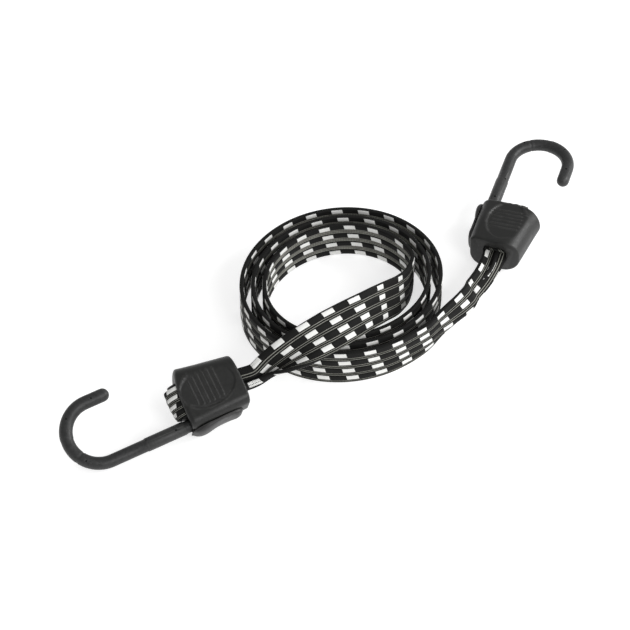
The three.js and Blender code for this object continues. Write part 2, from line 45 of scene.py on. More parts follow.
FOCAL_PIXELS = 2057
CAMERA_ELEVATION = math.radians(46)
CAMERA_DISTANCE = 1.239
AIM = Vector((-0.010376, -0.008114, 0))

camera_data = bpy.data.cameras.new("photo_camera")
camera_data.lens = camera_data.sensor_width * FOCAL_PIXELS / PHOTO_PIXELS
camera = bpy.data.objects.new("photo_camera", camera_data)
camera.location = AIM + CAMERA_DISTANCE * Vector(
    (0, -math.cos(CAMERA_ELEVATION), math.sin(CAMERA_ELEVATION)))
camera.rotation_euler = (math.pi / 2 - CAMERA_ELEVATION, 0, 0)
bpy.context.scene.collection.objects.link(camera)
bpy.context.scene.camera = camera


# Hook units' places
# Each unit lies on the floor with its housing's narrow side as X, the shank as Y and its ribbed
# face as Z. The angles are the heading, pitch and roll that it came to rest at.
def unit_frame(heading, pitch, roll, origin):
    heading, pitch, roll = (math.radians(angle) for angle in (heading, pitch, roll))
    along = Vector((
        math.cos(heading) * math.cos(pitch), math.sin(heading) * math.cos(pitch), math.sin(pitch)))
    level = Vector((math.sin(heading), -math.cos(heading), 0))
    across = level * math.cos(roll) + level.cross(along) * math.sin(roll)
    placed = Matrix((across, along, across.cross(along))).transposed().to_4x4()
    placed.translation = Vector(origin)
    return placed


UNITS = {
    "left": unit_frame(206.9, -5.64, 26.98, (-0.082486, -0.104976, 0.009271)),
    "right": unit_frame(71.43, 2.04, 3.23, (0.099744, 0.071492, 0.013014)),
}
HOUSING_REACH = 0.0385
MOUTH_MIDDLE = Vector((0.0123, -HOUSING_REACH, 0))
INSIDE_MOUTH = 0.0096

# Strap's route
# One length of flat elastic webbing runs from the left unit, over its own coil and down inside it,
# out through three turns on edge, and away to the right unit. It leaves both mouths gathered.
STRAP_WIDTH = 0.025
STRAP_THICKNESS = 0.0026
ROUTE_ORIGIN = AIM
# Rows hold x, y, z, the lean of the upper edge to the left of travel, and the gathered share
LEFT_ROUTE = [
    (-0.0345, -0.0668, 0.0201, 62, 0.97),
    (-0.0272, -0.0635, 0.0247, 58, 0.8),
    (-0.0166, -0.0607, 0.0307, 50, 0.42),
    (-0.0048, -0.0571, 0.0358, 42, 0.1),
    (0.0069, -0.0510, 0.0386, 37, 0),
    (0.0185, -0.0436, 0.0400, 32, 0),
    (0.0300, -0.0339, 0.0388, 22, 0),
    (0.0406, -0.0184, 0.0302, 15, 0),
    (0.0502, -0.0010, 0.0192, 10, 0),
    (0.0562, 0.0130, 0.0138, 4, 0),
]
RIGHT_ROUTE = [
    (0.0666, -0.0292, 0.0125, 2, 0.012),
    (0.0728, -0.0208, 0.0128, 8, 0.06),
    (0.0788, -0.0128, 0.0134, 19, 0.25),
    (0.0846, -0.0044, 0.0138, 30, 0.56),
    (0.0902, 0.0040, 0.0128, 40, 0.72),
    (0.0958, 0.0126, 0.0116, 48, 0.8),
    (0.1010, 0.0211, 0.0113, 57, 0.83),
    (0.1056, 0.0298, 0.0118, 70, 0.86),
]
# At the left mouth, which the strap runs away from, and the right one
MOUTH_GATHERED = {-1: 0.94, 1: 0.86}
COIL_CENTRE = Vector((0.0156, 0.0035, 0))
COIL_RADIUS = 0.04485
COIL_TURN_PITCH = 0.00688
COIL_SHIFT = 0.00467
COIL_SHIFT_PER_TURN = 0.00023
COIL_SHIFT_ANGLE = 73.9
COIL_OVAL = 0.00238
COIL_OVAL_ANGLE = 45.3
COIL_START = 30
COIL_END = 1035
COIL_STEPS_PER_TURN = 24


def coil_point(degrees):
    turns = degrees / 360
    radius = (
        COIL_RADIUS + COIL_TURN_PITCH * turns - STRAP_THICKNESS / 2
        + (COIL_SHIFT + COIL_SHIFT_PER_TURN * turns) * math.cos(math.radians(degrees - COIL_SHIFT_ANGLE))
        + COIL_OVAL * math.cos(2 * math.radians(degrees - COIL_OVAL_ANGLE)))
    angle = math.radians(degrees)
    return COIL_CENTRE + Vector((radius * math.cos(angle), radius * math.sin(angle), STRAP_WIDTH / 2))


def lean_of(travel, upper_edge):
    left = Vector((0, 0, 1)).cross(travel).normalized()
    return math.degrees(math.atan2(upper_edge.dot(left), upper_edge.dot(travel.cross(left))))


def mouth_stations(unit, side_sign):
    across, along = unit.col[0].xyz, unit.col[1].xyz
    lean = lean_of(along * side_sign, across * -side_sign)
    mouth = unit @ MOUTH_MIDDLE
    gathered = MOUTH_GATHERED[side_sign]
    return [(*mouth, lean, gathered), (*(mouth + along * INSIDE_MOUTH), lean, gathered)]


def route_stations(route):
    return [(*(Vector(row[:3]) + ROUTE_ORIGIN), *row[3:]) for row in route]


coil_steps = round((COIL_END - COIL_START) * COIL_STEPS_PER_TURN / 360)
coil_stations = [
    (*(coil_point(COIL_START + (COIL_END - COIL_START) * k / coil_steps) + ROUTE_ORIGIN), 0, 0)
    for k in range(coil_steps + 1)]
stations = np.array(
    mouth_stations(UNITS["left"], -1)[::-1] + route_stations(LEFT_ROUTE) + coil_stations
    + route_stations(RIGHT_ROUTE) + mouth_stations(UNITS["right"], 1))
LEFT_MOUTH = 1
COIL_FIRST = len(LEFT_ROUTE) + 2
RIGHT_MOUTH = len(stations) - 2


def smooth_rows(rows, places):
    """Rows between the stations, on a centripetal Catmull-Rom curve through them."""
    ends = np.vstack([2 * rows[0] - rows[1], rows, 2 * rows[-1] - rows[-2]])
    knots = np.sqrt(np.linalg.norm(np.diff(ends[:, :3], axis=0), axis=1))
    first = np.minimum(places.astype(int), len(rows) - 2)
    t = (places - first)[:, None]
    before, start, end, after = (ends[first + k] for k in range(4))
    gap0, gap1, gap2 = (knots[first + k][:, None] for k in range(3))
    leave = ((start - before) / gap0 - (end - before) / (gap0 + gap1) + (end - start) / gap1) * gap1
    arrive = ((end - start) / gap1 - (after - start) / (gap1 + gap2) + (after - end) / gap2) * gap1
    return (
        start + leave * t + (3 * (end - start) - 2 * leave - arrive) * t ** 2
        + (2 * (start - end) + leave + arrive) * t ** 3)


SAMPLES_PER_STATION = 12
TRAVEL_REACH = 0.0004
sample_places = np.linspace(0, len(stations) - 1, (len(stations) - 1) * SAMPLES_PER_STATION + 1)
route = smooth_rows(stations, sample_places)
route_length = np.concatenate([[0], np.cumsum(np.linalg.norm(np.diff(route[:, :3], axis=0), axis=1))])


def length_at(station):
    return float(np.interp(station, sample_places, route_length))


def free_strap(lengths):
    """At lengths along the strap: middle, upper-edge and outer-face directions, gathered share."""
    rows = np.column_stack([np.interp(lengths, route_length, route[:, k]) for k in range(5)])
    ahead, behind = (
        np.column_stack([np.interp(lengths + reach, route_length, route[:, k]) for k in range(3)])
        for reach in (TRAVEL_REACH, -TRAVEL_REACH))
    travel = ahead - behind
    travel /= np.linalg.norm(travel, axis=1)[:, None]
    left = np.cross([0, 0, 1], travel)
    left /= np.linalg.norm(left, axis=1)[:, None]
    lean = np.radians(rows[:, 3])[:, None]
    upper = np.cross(travel, left) * np.cos(lean) + left * np.sin(lean)
    return rows[:, :3], upper, np.cross(travel, upper), np.clip(rows[:, 4], 0, 1)


# Strap's webbing
# Four flat bands that carry the dashes lie between pairs of thin ribs, where the rubber strands
# show a little lighter under the yarn, with a painted highlight on the ribs' crests as well.
# Towards each mouth the strap folds up along its length.
BLACK, RIB = 0, 1
BAND_HALF_WIDTH = 0.0018
BAND_HEIGHT = 0.00122
BAND_CROWN = 0.00008
# Shares of a band's half width from its middle and of its crown's height, None being the groove
BAND_SHARES = [(-1, None), (-0.88, 0), (-0.45, 0.8), (0, 1), (0.45, 0.8), (0.88, 0)]
GROOVE_HEIGHT = 0.00078
RIB_WIDTH = 0.0012
RIB_HEIGHT = 0.00116
# Shares of a rib's width and of its height over the groove, with the yarn that shows
# RIB marks the crest's lighter yarn: the rubber's own lighter tone and a painted highlight
RIB_SHARES = [(0, 0, BLACK), (0.35, 0.95, RIB), (0.65, 0.95, BLACK)]
EDGE_HEIGHT_SHARE = 0.6
OUTER_ROWS = (0.083, 0.335, 0.59, 0.835)
INNER_ROWS = (0.083, 0.365, 0.64, 0.915)
FOLD_STEPS = 100
MOST_FOLD_SCALE = 1.5
FOLD_SCALE_STEPS = 60
GATHERED_CHORD = 0.0105
# How the strap turns across its width as it gathers: shares of the width, then degrees along the
# free stretch and degrees at the mouth
FOLDS = {
    "left": [(0, -10, -20), (0.12, 0, 0), (0.25, 45, 45), (0.45, 60, 60), (0.58, 45, 45), (0.64, 0, 0),
             (0.7, -45, -50), (0.82, -70, -75), (0.92, -90, -100), (1, -110, -120)],
    "right": [(0, 0, 50), (0.12, 0, 35), (0.25, 0, 10), (0.4, 0, 0), (0.5, 20, 15), (0.62, 90, 80),
              (0.72, 150, 145), (0.85, 172, 172), (1, 178, 178)],
}
FOLD_CHANGES_FROM = 0.7


def face_profile(rows):
    """Points of one face from its upper to its lower edge: place across, height and yarn."""
    points = []
    last = 0
    for centre in [*(share * STRAP_WIDTH for share in rows), None]:
        start = STRAP_WIDTH if centre is None else max(centre - BAND_HALF_WIDTH, 0)
        ribs = round((start - last) / RIB_WIDTH)
        for k in range(ribs):
            width = (start - last) / ribs
            points += [
                (last + width * (k + share), GROOVE_HEIGHT + (RIB_HEIGHT - GROOVE_HEIGHT) * rise, yarn)
                for share, rise, yarn in RIB_SHARES]
        if centre is None:
            continue
        half = centre - start
        points += [
            (centre + half * share, GROOVE_HEIGHT if rise is None else BAND_HEIGHT + rise * BAND_CROWN, BLACK)
            for share, rise in BAND_SHARES]
        last = min(centre + half, STRAP_WIDTH)
        if last >= STRAP_WIDTH - RIB_WIDTH / 2:
            last = STRAP_WIDTH
    points.append((STRAP_WIDTH, GROOVE_HEIGHT * EDGE_HEIGHT_SHARE, BLACK))
    return points


section = face_profile(OUTER_ROWS) + [(a, -h, yarn) for a, h, yarn in reversed(face_profile(INNER_ROWS))]
section_across = np.array([p[0] for p in section])
section_heights = np.array([p[1] for p in section])

fold_grid = np.linspace(0, STRAP_WIDTH, FOLD_STEPS)
fold_step = STRAP_WIDTH / (FOLD_STEPS - 1)
fold_scales = np.linspace(0, MOST_FOLD_SCALE, FOLD_SCALE_STEPS + 1)


def folded(angle):
    """The strap's middle line across its width, down and out, for turning angles along it."""
    down, out = np.zeros_like(angle), np.zeros_like(angle)
    down[:, 1:] = np.cumsum(-np.cos(angle[:, 1:]) * fold_step, axis=1)
    out[:, 1:] = np.cumsum(-np.sin(angle[:, 1:]) * fold_step, axis=1)
    down -= (down.max(1) + down.min(1))[:, None] / 2
    out -= (out.max(1) + out.min(1))[:, None] / 2
    return down, out


fold_turns = {
    side: [np.radians(np.interp(fold_grid / STRAP_WIDTH, *columns)) for columns in (
        [[row[0] for row in table], [row[k] for row in table]] for k in (1, 2))]
    for side, table in FOLDS.items()}


def gathered_turns(gathered, fold):
    """Turning angles across the strap that bring it to its gathered width, one row a frame."""
    along, at_mouth = fold_turns[fold]
    mouth_part = np.clip((gathered - FOLD_CHANGES_FROM) / (1 - FOLD_CHANGES_FROM), 0, 1)[:, None]
    shape = along + (at_mouth - along) * mouth_part
    turns = np.zeros_like(shape)
    for k in np.nonzero(gathered > 0)[0]:
        chords = np.minimum.accumulate(np.ptp(folded(fold_scales[:, None] * shape[k])[0], axis=1))
        wanted = STRAP_WIDTH + (GATHERED_CHORD - STRAP_WIDTH) * gathered[k]
        turns[k] = shape[k] * np.interp(-wanted, -chords, fold_scales)
    return turns


def strap_points(frames, fold, across, heights):
    """Points at places across from the upper edge and heights off the middle, one row a frame."""
    middle, upper, outward, gathered, narrowing, crown = frames
    angle = gathered_turns(gathered, fold)
    down, out = folded(angle)
    place = np.clip(across, 0, STRAP_WIDTH) / fold_step
    low = np.minimum(place.astype(int), FOLD_STEPS - 2)
    share = place - low
    row = np.arange(len(gathered))[:, None]
    t, n, a = ((1 - share) * table[row, low] + share * table[row, low + 1] for table in (down, out, angle))
    t = (t - np.sin(a) * heights) * narrowing[:, None]
    n = n + np.cos(a) * heights + crown[:, None] * (1 - (2 * across / STRAP_WIDTH - 1) ** 2)
    return middle[:, None] + upper[:, None] * t[..., None] + outward[:, None] * n[..., None]


def piece(name, points, faces, finishes, finish_index=None, places=None):
    """A mesh piece. Places, where the strap's pieces have them, are across and along in mm."""
    mesh = bpy.data.meshes.new(name)
    mesh.from_pydata(np.asarray(points, float).reshape(-1, 3).tolist(), [], faces)
    for finish in finishes:
        mesh.materials.append(finish)
    if finish_index is not None:
        mesh.polygons.foreach_set("material_index", finish_index)
    if places is not None:
        corners = np.empty(len(mesh.loops), np.int32)
        mesh.loops.foreach_get("vertex_index", corners)
        mesh.uv_layers.new(name="strap_place").data.foreach_set("uv", places[corners].ravel())
    mesh.polygons.foreach_set("use_smooth", [True] * len(mesh.polygons))
    mesh.update()
    made = bpy.data.objects.new(name, mesh)
    bpy.context.scene.collection.objects.link(made)
    return made


def tube_faces(rings, count):
    """Quads between closed rings of equal counts, and one face on each end."""
    faces = [
        (r * count + i, r * count + (i + 1) % count, (r + 1) * count + (i + 1) % count, (r + 1) * count + i)
        for r in range(rings - 1) for i in range(count)]
    return faces + [tuple(range(count))[::-1], tuple(range((rings - 1) * count, rings * count))]


def sharpen_ends(obj, count):
    """Keeps the shading of the end faces apart from the sides'."""
    edges = obj.data.attributes.new("sharp_edge", "BOOLEAN", "EDGE")
    last = len(obj.data.vertices) - count
    flags = [
        all(v < count for v in edge.vertices) or all(v >= last for v in edge.vertices)
        for edge in obj.data.edges]
    edges.data.foreach_set("value", flags)


def feed(tree, socket, value):
    if isinstance(value, bpy.types.NodeSocket):
        tree.links.new(value, socket)
    else:
        socket.default_value = value


def math_node(tree, operation, *values):
    made = tree.nodes.new("ShaderNodeMath")
    made.operation = operation
    for socket, value in zip(made.inputs, values):
        feed(tree, socket, value)
    return made.outputs[0]


def map_range(tree, value, from_low, from_high, to_low=0, to_high=1):
    made = tree.nodes.new("ShaderNodeMapRange")
    for label, number in (("Value", value), ("From Min", from_low), ("From Max", from_high),
                          ("To Min", to_low), ("To Max", to_high)):
        feed(tree, made.inputs[label], number)
    return made.outputs["Result"]


def noise(tree, place, scale, detail, roughness=0.55):
    made = tree.nodes.new("ShaderNodeTexNoise")
    for label, value in (("Vector", place), ("Scale", scale), ("Detail", detail), ("Roughness", roughness)):
        feed(tree, made.inputs[label], value)
    return made.outputs[0]


def blend_colours(tree, share, first, second):
    made = tree.nodes.new("ShaderNodeMix")
    made.data_type = "RGBA"
    feed(tree, made.inputs["Factor"], share)
    for socket, colour in ((made.inputs[6], first), (made.inputs[7], second)):
        feed(tree, socket, (*colour, 1) if isinstance(colour, tuple) else colour)
    return made.outputs[2]


def node_group(name, inputs, outputs):
    """A node group with named number inputs and outputs, its input node and its output node."""
    group = bpy.data.node_groups.new(name, "ShaderNodeTree")
    for label, value in inputs.items():
        group.interface.new_socket(label, in_out="INPUT", socket_type="NodeSocketFloat").default_value = value
    for label in outputs:
        group.interface.new_socket(label, in_out="OUTPUT", socket_type="NodeSocketFloat")
    return group, group.nodes.new("NodeGroupInput").outputs, group.nodes.new("NodeGroupOutput").inputs


def place_group(tree, group, **inputs):
    made = tree.nodes.new("ShaderNodeGroup")
    made.node_tree = group
    for label, value in inputs.items():
        feed(tree, made.inputs[label.replace("_", " ")], value)
    return made.outputs


# Yarns cross over and under each other all along the strap. Their tone is painted shade where a yarn dips
# under the crossing one, times broad worn patches.
yarn_weave, weave_in, weave_out = node_group(
    "yarn_weave", {"Pick Length": 0.83, "Yarn Width": 0.6, "Unevenness": 0.5}, ("Height", "Tone"))
strap_place = yarn_weave.nodes.new("ShaderNodeUVMap")
strap_place.uv_map = "strap_place"
weave_split = yarn_weave.nodes.new("ShaderNodeSeparateXYZ")
yarn_weave.links.new(strap_place.outputs["UV"], weave_split.inputs["Vector"])
yarn_number = math_node(
    yarn_weave, "DIVIDE", weave_split.outputs["X"], weave_in["Yarn Width"])
pick_number = math_node(yarn_weave, "DIVIDE", weave_split.outputs["Y"], weave_in["Pick Length"])
every_other = math_node(yarn_weave, "MULTIPLY", math_node(yarn_weave, "FLOOR", yarn_number), math.pi)
over_and_under = math_node(yarn_weave, "SINE", math_node(
    yarn_weave, "ADD", math_node(yarn_weave, "MULTIPLY", pick_number, math.pi), every_other))
yarn_round = math_node(yarn_weave, "ABSOLUTE", math_node(
    yarn_weave, "SINE", math_node(yarn_weave, "MULTIPLY", yarn_number, math.pi)))
yarn_height = math_node(
    yarn_weave, "MULTIPLY", map_range(yarn_weave, over_and_under, -1, 1, 0.3, 1), yarn_round)
fibre_noise = noise(yarn_weave, strap_place.outputs["UV"], 1.7, 4)
fibre_lift = math_node(yarn_weave, "MULTIPLY", fibre_noise, weave_in["Unevenness"])
yarn_weave.links.new(math_node(yarn_weave, "ADD", yarn_height, fibre_lift), weave_out["Height"])
worn_patches = noise(yarn_weave, strap_place.outputs["UV"], 0.12, 3)
# Tone: painted shade, darker by up to about half where the yarn dips, times broad worn patches
yarn_weave.links.new(
    math_node(
        yarn_weave, "MULTIPLY", map_range(yarn_weave, yarn_height, 0, 1, 0.45, 1),
        map_range(yarn_weave, worn_patches, 0.3, 0.7, 0.55, 1)),
    weave_out["Tone"])


def new_finish(name, specular):
    material = bpy.data.materials.new(name)
    material.use_nodes = True
    shader = material.node_tree.nodes["Principled BSDF"]
    shader.inputs["Specular IOR Level"].default_value = specular
    return material, material.node_tree, shader


def bump(tree, shader, height, distance, strength=1.0):
    made = tree.nodes.new("ShaderNodeBump")
    made.inputs["Distance"].default_value = distance
    made.inputs["Strength"].default_value = strength
    tree.links.new(height, made.inputs["Height"])
    tree.links.new(made.outputs["Normal"], shader.inputs["Normal"])


YARN_SHEEN = 0.08


def woven_finish(name, low, high, roughness, specular, distance, **weave):
    material, tree, shader = new_finish(name, specular)
    yarn = place_group(tree, yarn_weave, **weave)
    # The base colour follows the weave's tone, which holds painted shade in the yarn's dips
    tree.links.new(blend_colours(tree, yarn["Tone"], low, high), shader.inputs["Base Color"])
    tree.links.new(
        map_range(tree, yarn["Tone"], 0, 1, roughness + YARN_SHEEN, roughness - YARN_SHEEN),
        shader.inputs["Roughness"])
    bump(tree, shader, yarn["Height"], distance)
    return material


webbing_yarn = woven_finish(
    "webbing_yarn", low=(0.0032, 0.0032, 0.0030), high=(0.0068, 0.0068, 0.0062), roughness=0.78,
    specular=0.2, distance=0.00012)
# The ribs' light colours are the rubber's own lighter tone and a painted highlight on their crests
rib_yarn_and_highlight = woven_finish(
    "rib_yarn_and_highlight", low=(0.060, 0.060, 0.052), high=(0.34, 0.34, 0.30), roughness=0.6,
    specular=0.3, distance=0.0001, Yarn_Width=0.5, Unevenness=0.7)
white_yarn = woven_finish(
    "white_yarn", low=(0.66, 0.66, 0.64), high=(0.88, 0.88, 0.86), roughness=0.75,
    specular=0.35, distance=0.00008, Pick_Length=0.42, Yarn_Width=0.35, Unevenness=0.6)

STATION_STEP = 0.0016
BEHIND_MOUTH = 0.0022


def full_width(lengths):
    """The free strap's frames, neither narrowed nor crowned."""
    return (*free_strap(lengths), np.ones(len(lengths)), np.zeros(len(lengths)))


def webbing(name, lengths, frames, fold, body="root"):
    points = strap_points(frames, fold, np.tile(section_across, (len(lengths), 1)), section_heights)
    places = np.stack(np.broadcast_arrays(section_across[None] * 1000, lengths[:, None] * 1000), -1)
    finish_index = [p[2] for p in section] * (len(lengths) - 1) + [BLACK, BLACK]
    made = piece(
        name, points, tube_faces(len(lengths), len(section)), [webbing_yarn, rib_yarn_and_highlight], finish_index,
        places.reshape(-1, 2))
    sharpen_ends(made, len(section))
    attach(made, body)
    return made


# Dashes
# White yarn comes to the face in four rows of dashes. Each is a row of short picks across the band,
# a little proud of it, and each lower row starts a little later.
DASH_HALF_HEIGHT = 0.00165
DASH_HEIGHT = 0.0014
DASH_FOOT = 0.0009
DASH_SHOULDER = 0.0001
DASH_ACROSS_SHARES = [-1, -0.93, -0.4, 0.4, 0.93, 1]
DASH_LENGTH = 0.0076
DASH_SLANT = 0.25
ROW_DELAY = 0.0024
PICKS = 9
PICK_DEPTH = 0.00009
# Numbers of some dashes of the upper row, with the lengths along the strap of their middles. The
# elastic is drawn out more in some places than in others, so they aren't evenly spaced.
DASH_PLACES = [
    (0, 0.008), (5, 0.089), (6, 0.110), (8, 0.165), (10, 0.205), (11, 0.220), (22, 0.397),
    (26, 0.464), (46, 0.802), (62, 1.071), (66, 1.140), (69, 1.194), (70, 1.208)]
DASH_SPACING = 0.0165

dash_centres = np.interp(range(DASH_PLACES[-1][0] + 1), *zip(*DASH_PLACES))


def dashes(name, centres, frames_at, fold, start, end, limits, body="root"):
    steps = 2 * PICKS
    half = DASH_LENGTH / 2
    along = np.linspace(-half, half, steps + 1)
    across = np.array(DASH_ACROSS_SHARES) * DASH_HALF_HEIGHT
    points, places, faces = [], [], []
    for sign, rows in ((1, OUTER_ROWS), (-1, INNER_ROWS)):
        for centre in centres:
            for k, row in enumerate(rows):
                middle = centre + sign * k * ROW_DELAY
                if not start <= middle < end or middle - half < limits[0] or middle + half > limits[1]:
                    continue
                base = len(points) * len(across)
                across_here = np.clip(
                    row * STRAP_WIDTH + across, DASH_SHOULDER, STRAP_WIDTH - DASH_SHOULDER)
                for j, way in enumerate(along):
                    rise = DASH_HEIGHT - (PICK_DEPTH if j % 2 == 0 else 0)
                    shoulder = rise - DASH_SHOULDER
                    heights = np.array([DASH_FOOT, shoulder, rise, rise, shoulder, DASH_FOOT])
                    if j in (0, steps):
                        heights = np.full(len(across), DASH_FOOT)
                    lengths = middle + way + sign * DASH_SLANT * across
                    points.append(strap_points(
                        frames_at(lengths), fold, across_here[:, None], sign * heights[:, None])[:, 0])
                    places.append(np.column_stack([across_here, lengths]) * 1000)
                width = len(across)
                quads = [
                    (a, a + 1, a + 1 + width, a + width)
                    for j in range(steps) for a in range(base + j * width, base + (j + 1) * width - 1)]
                backs = []
                for j in range(steps):
                    near, far = (range(base + k * width, base + (k + 1) * width) for k in (j, j + 1))
                    near = near if j == 0 else (near[0], near[-1])
                    far = far if j == steps - 1 else (far[0], far[-1])
                    backs.append((near[0], *far, *near[:0:-1]))
                faces += [face if sign < 0 else face[::-1] for face in [*quads, *backs]]
    made = piece(name, np.concatenate(points), faces, [white_yarn], places=np.concatenate(places))
    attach(made, body)
    return made


TURN = 360 * coil_steps / (COIL_END - COIL_START)
cuts = [length_at(station) for station in (
    LEFT_MOUTH, COIL_FIRST, COIL_FIRST + TURN, COIL_FIRST + 2 * TURN, RIGHT_MOUTH)]
cuts[0] -= BEHIND_MOUTH
cuts[-1] += BEHIND_MOUTH
CORD_PATH_STEP = 0.006
stretches = [
    ("strap_left_lead", ("strap_lead_left",), "loose"),
    ("strap_inner_turn", ("strap_coil",), "coiled"),
    ("strap_middle_turn", ("strap_coil",), "coiled"),
    ("strap_outer_turn", ("strap_coil", "strap_lead_right"), "coiled"),
]
for (name, nodes, lay), start, end in zip(stretches, cuts, cuts[1:]):
    lengths = np.linspace(start, end, round((end - start) / STATION_STEP) + 1)
    fold = "left" if name == "strap_left_lead" else "right"
    web = webbing(name, lengths, full_width(lengths), fold)
    marks = dashes(name + "_dashes", dash_centres, full_width, fold, start, end, (cuts[0], cuts[-1]))
    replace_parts(web, *nodes)
    path = free_strap(np.linspace(start, end, round((end - start) / CORD_PATH_STEP)))[0]

# Housings
# Each is one moulded plastic sleeve, tapered towards the mouth, with a shallow oval dish and grip
# ribs on both broad faces. The hook end is open, and the mouth's wall has a slot for the strap.
HOOK_END_INSET = 0.0011
HOOK_END_SWEEP = 0.0052
HOOK_END_SWEEP_POWER = 3
HOOK_END_SWEEP_SHARE = 0.45
MOUTH_SWEEP = 0.0012
MOUTH_SWEEP_SHARE = 0.3
SIDE = (0.0045, 0.0036)
FAR_SIDE = (0.0337, 0.0277)
HALF_THICKNESS = (0.0105, 0.012)
THICKEST_FROM = 0.022
FAR_CORNER = 0.0105
UPPER_SIDE_CORNER = 0.0055
LOWER_SIDE_CORNER = 0.0085
MOUTH_RIM = 0.0013
HOOK_RIM = 0.0024
HOUSING_EDGE = 0.0002
FACET_AT_HOOK_END = 0.0102
FACET_RUN_OUT = 0.034
DISH_MIDDLE = (0.0145, -0.0185)
DISH_HALF_SIZE = (0.0116, 0.0163)
DISH_DEPTH = 0.0005
DISH_RIM_WIDTH = 0.0007
DISH_ROUNDING = 0.0002
BORE_SIDE = 0.0024
BORE_FAR_SIDE = 0.0256
BORE_FAR_CORNER = 0.0045
BORE_CORNER = 0.0025
BORE_HALF = (0.0081, 0.0096)
MOUTH_WALL = 0.0022
MOUTH_SLOT_WIDTH = 0.0144
MOUTH_SLOT_HEIGHT = 0.0106
MOUTH_SLOT_CORNER = 0.0026
MOUTH_SLOT_FLARE = 0.001
SADDLE_SLOT_HALF_WIDTH = 0.0044
SADDLE_SLOT_LENGTH = 0.028
CUT_OVERRUN = 0.004
CORNER_STEPS = 14
SPAN_STEPS = 30
RIM_STEPS = 6
HOUSING_SECTIONS = 84
GRIP_RIBS = 6
GRIP_RIB_PITCH = 0.0031
GRIP_RIB_WIDTH = 0.0012
GRIP_RIB_HEIGHT = 0.00025
GRIP_RIB_SHARE = 0.8
GRIP_RIB_INSET = 0.0095
GRIP_RIB_END_SHARES = [(-1, 0), (-0.97, 0.8), (-0.9, 1), (0.9, 1), (0.97, 0.8), (1, 0)]

# Fine moulded grain with broad, faint patches, for all the plastic
moulded_grain, grain_in, grain_out = node_group(
    "moulded_grain", {"Grain Scale": 3200, "Patch Scale": 420}, ("Height", "Tone"))
solid_place = moulded_grain.nodes.new("ShaderNodeTexCoord").outputs["Object"]
fine_grain = noise(moulded_grain, solid_place, grain_in["Grain Scale"], 3)
broad_patches = noise(moulded_grain, solid_place, grain_in["Patch Scale"], 3)
moulded_grain.links.new(
    math_node(moulded_grain, "MULTIPLY_ADD", fine_grain, 0.35, broad_patches), grain_out["Height"])
moulded_grain.links.new(map_range(moulded_grain, broad_patches, 0.32, 0.68), grain_out["Tone"])

# Handling wears the outer edges lighter here and there, and the lighter edges are also a painted highlight
# along the rims
edge_wear_and_highlight, wear_highlight_in, wear_highlight_out = node_group("edge_wear_and_highlight", {"Patch Scale": 260, "Reach": 0.08}, ("Mask",))
pointiness = edge_wear_and_highlight.nodes.new("ShaderNodeNewGeometry").outputs["Pointiness"]
raised = map_range(edge_wear_and_highlight, pointiness, 0.51, math_node(edge_wear_and_highlight, "ADD", wear_highlight_in["Reach"], 0.51))
edge_patches = map_range(
    edge_wear_and_highlight,
    noise(edge_wear_and_highlight, edge_wear_and_highlight.nodes.new("ShaderNodeTexCoord").outputs["Object"], wear_highlight_in["Patch Scale"], 4),
    0.3, 0.7, 0.25, 1)
edge_wear_and_highlight.links.new(math_node(edge_wear_and_highlight, "MULTIPLY", raised, edge_patches), wear_highlight_out["Mask"])


MOULDED_SHEEN = 0.05


def moulded_finish(name, low, high, wear_and_highlight, roughness, specular, distance, **grain):
    material, tree, shader = new_finish(name, specular)
    surface = place_group(tree, moulded_grain, **grain)
    wear_highlight_mask = place_group(tree, edge_wear_and_highlight)["Mask"]
    body_colour = blend_colours(tree, surface["Tone"], low, high)
    # The edges' lighter colour is wear and a painted highlight together
    tree.links.new(blend_colours(tree, wear_highlight_mask, body_colour, wear_and_highlight), shader.inputs["Base Color"])
    tree.links.new(
        map_range(tree, surface["Tone"], 0, 1, roughness - MOULDED_SHEEN, roughness + MOULDED_SHEEN),
        shader.inputs["Roughness"])
    bump(tree, shader, surface["Height"], distance)
    return material


housing_plastic = moulded_finish(
    "housing_plastic", low=(0.0066, 0.0068, 0.0063), high=(0.0096, 0.0098, 0.0092),
    wear_and_highlight=(0.026, 0.026, 0.025), roughness=0.45, specular=0.4, distance=0.00006)


def mix(a, b, share):
    return a + (b - a) * share


def ease(value, start, end):
    share = max(0, min(1, (value - start) / (end - start)))
    return share * share * (3 - 2 * share)


def mouth_share(y):
    return -y / HOUSING_REACH


def dish_floor(y):
    return mix(FACET_AT_HOOK_END, HALF_THICKNESS[1], -y / FACET_RUN_OUT) - DISH_DEPTH


def rounded_ring(y, side, far_side, half, radii, steps, spans=1):
    """A rounded ring at one y: the far side's corners, then the upper and the lower near corner.
    The long flats between the corners are cut into spans."""
    far_radius, upper_radius, lower_radius = radii
    corners = (
        (far_side - far_radius, half - far_radius, far_radius, 0),
        (side + upper_radius, half - upper_radius, upper_radius, 90),
        (side + lower_radius, lower_radius - half, lower_radius, 180),
        (far_side - far_radius, far_radius - half, far_radius, 270))
    ring = []
    for x, z, radius, start in corners:
        turns = [math.radians(start + 90 * k / steps) for k in range(steps + 1)]
        corner = [(x + radius * math.cos(turn), y, z + radius * math.sin(turn)) for turn in turns]
        if start in (90, 270):
            flat = ring[-1]
            ring += [
                (mix(flat[0], corner[0][0], k / spans), y, corner[0][2]) for k in range(1, spans)]
        ring += corner
    return ring


def turn_outwards(made):
    net = bmesh.new()
    net.from_mesh(made.data)
    bmesh.ops.recalc_face_normals(net, faces=net.faces)
    net.to_mesh(made.data)
    net.free()


def loft(name, unit, rings, finish):
    points = [unit @ Vector(p) for ring in rings for p in ring]
    made = piece(name, points, tube_faces(len(rings), len(rings[0])), [finish])
    turn_outwards(made)
    return made


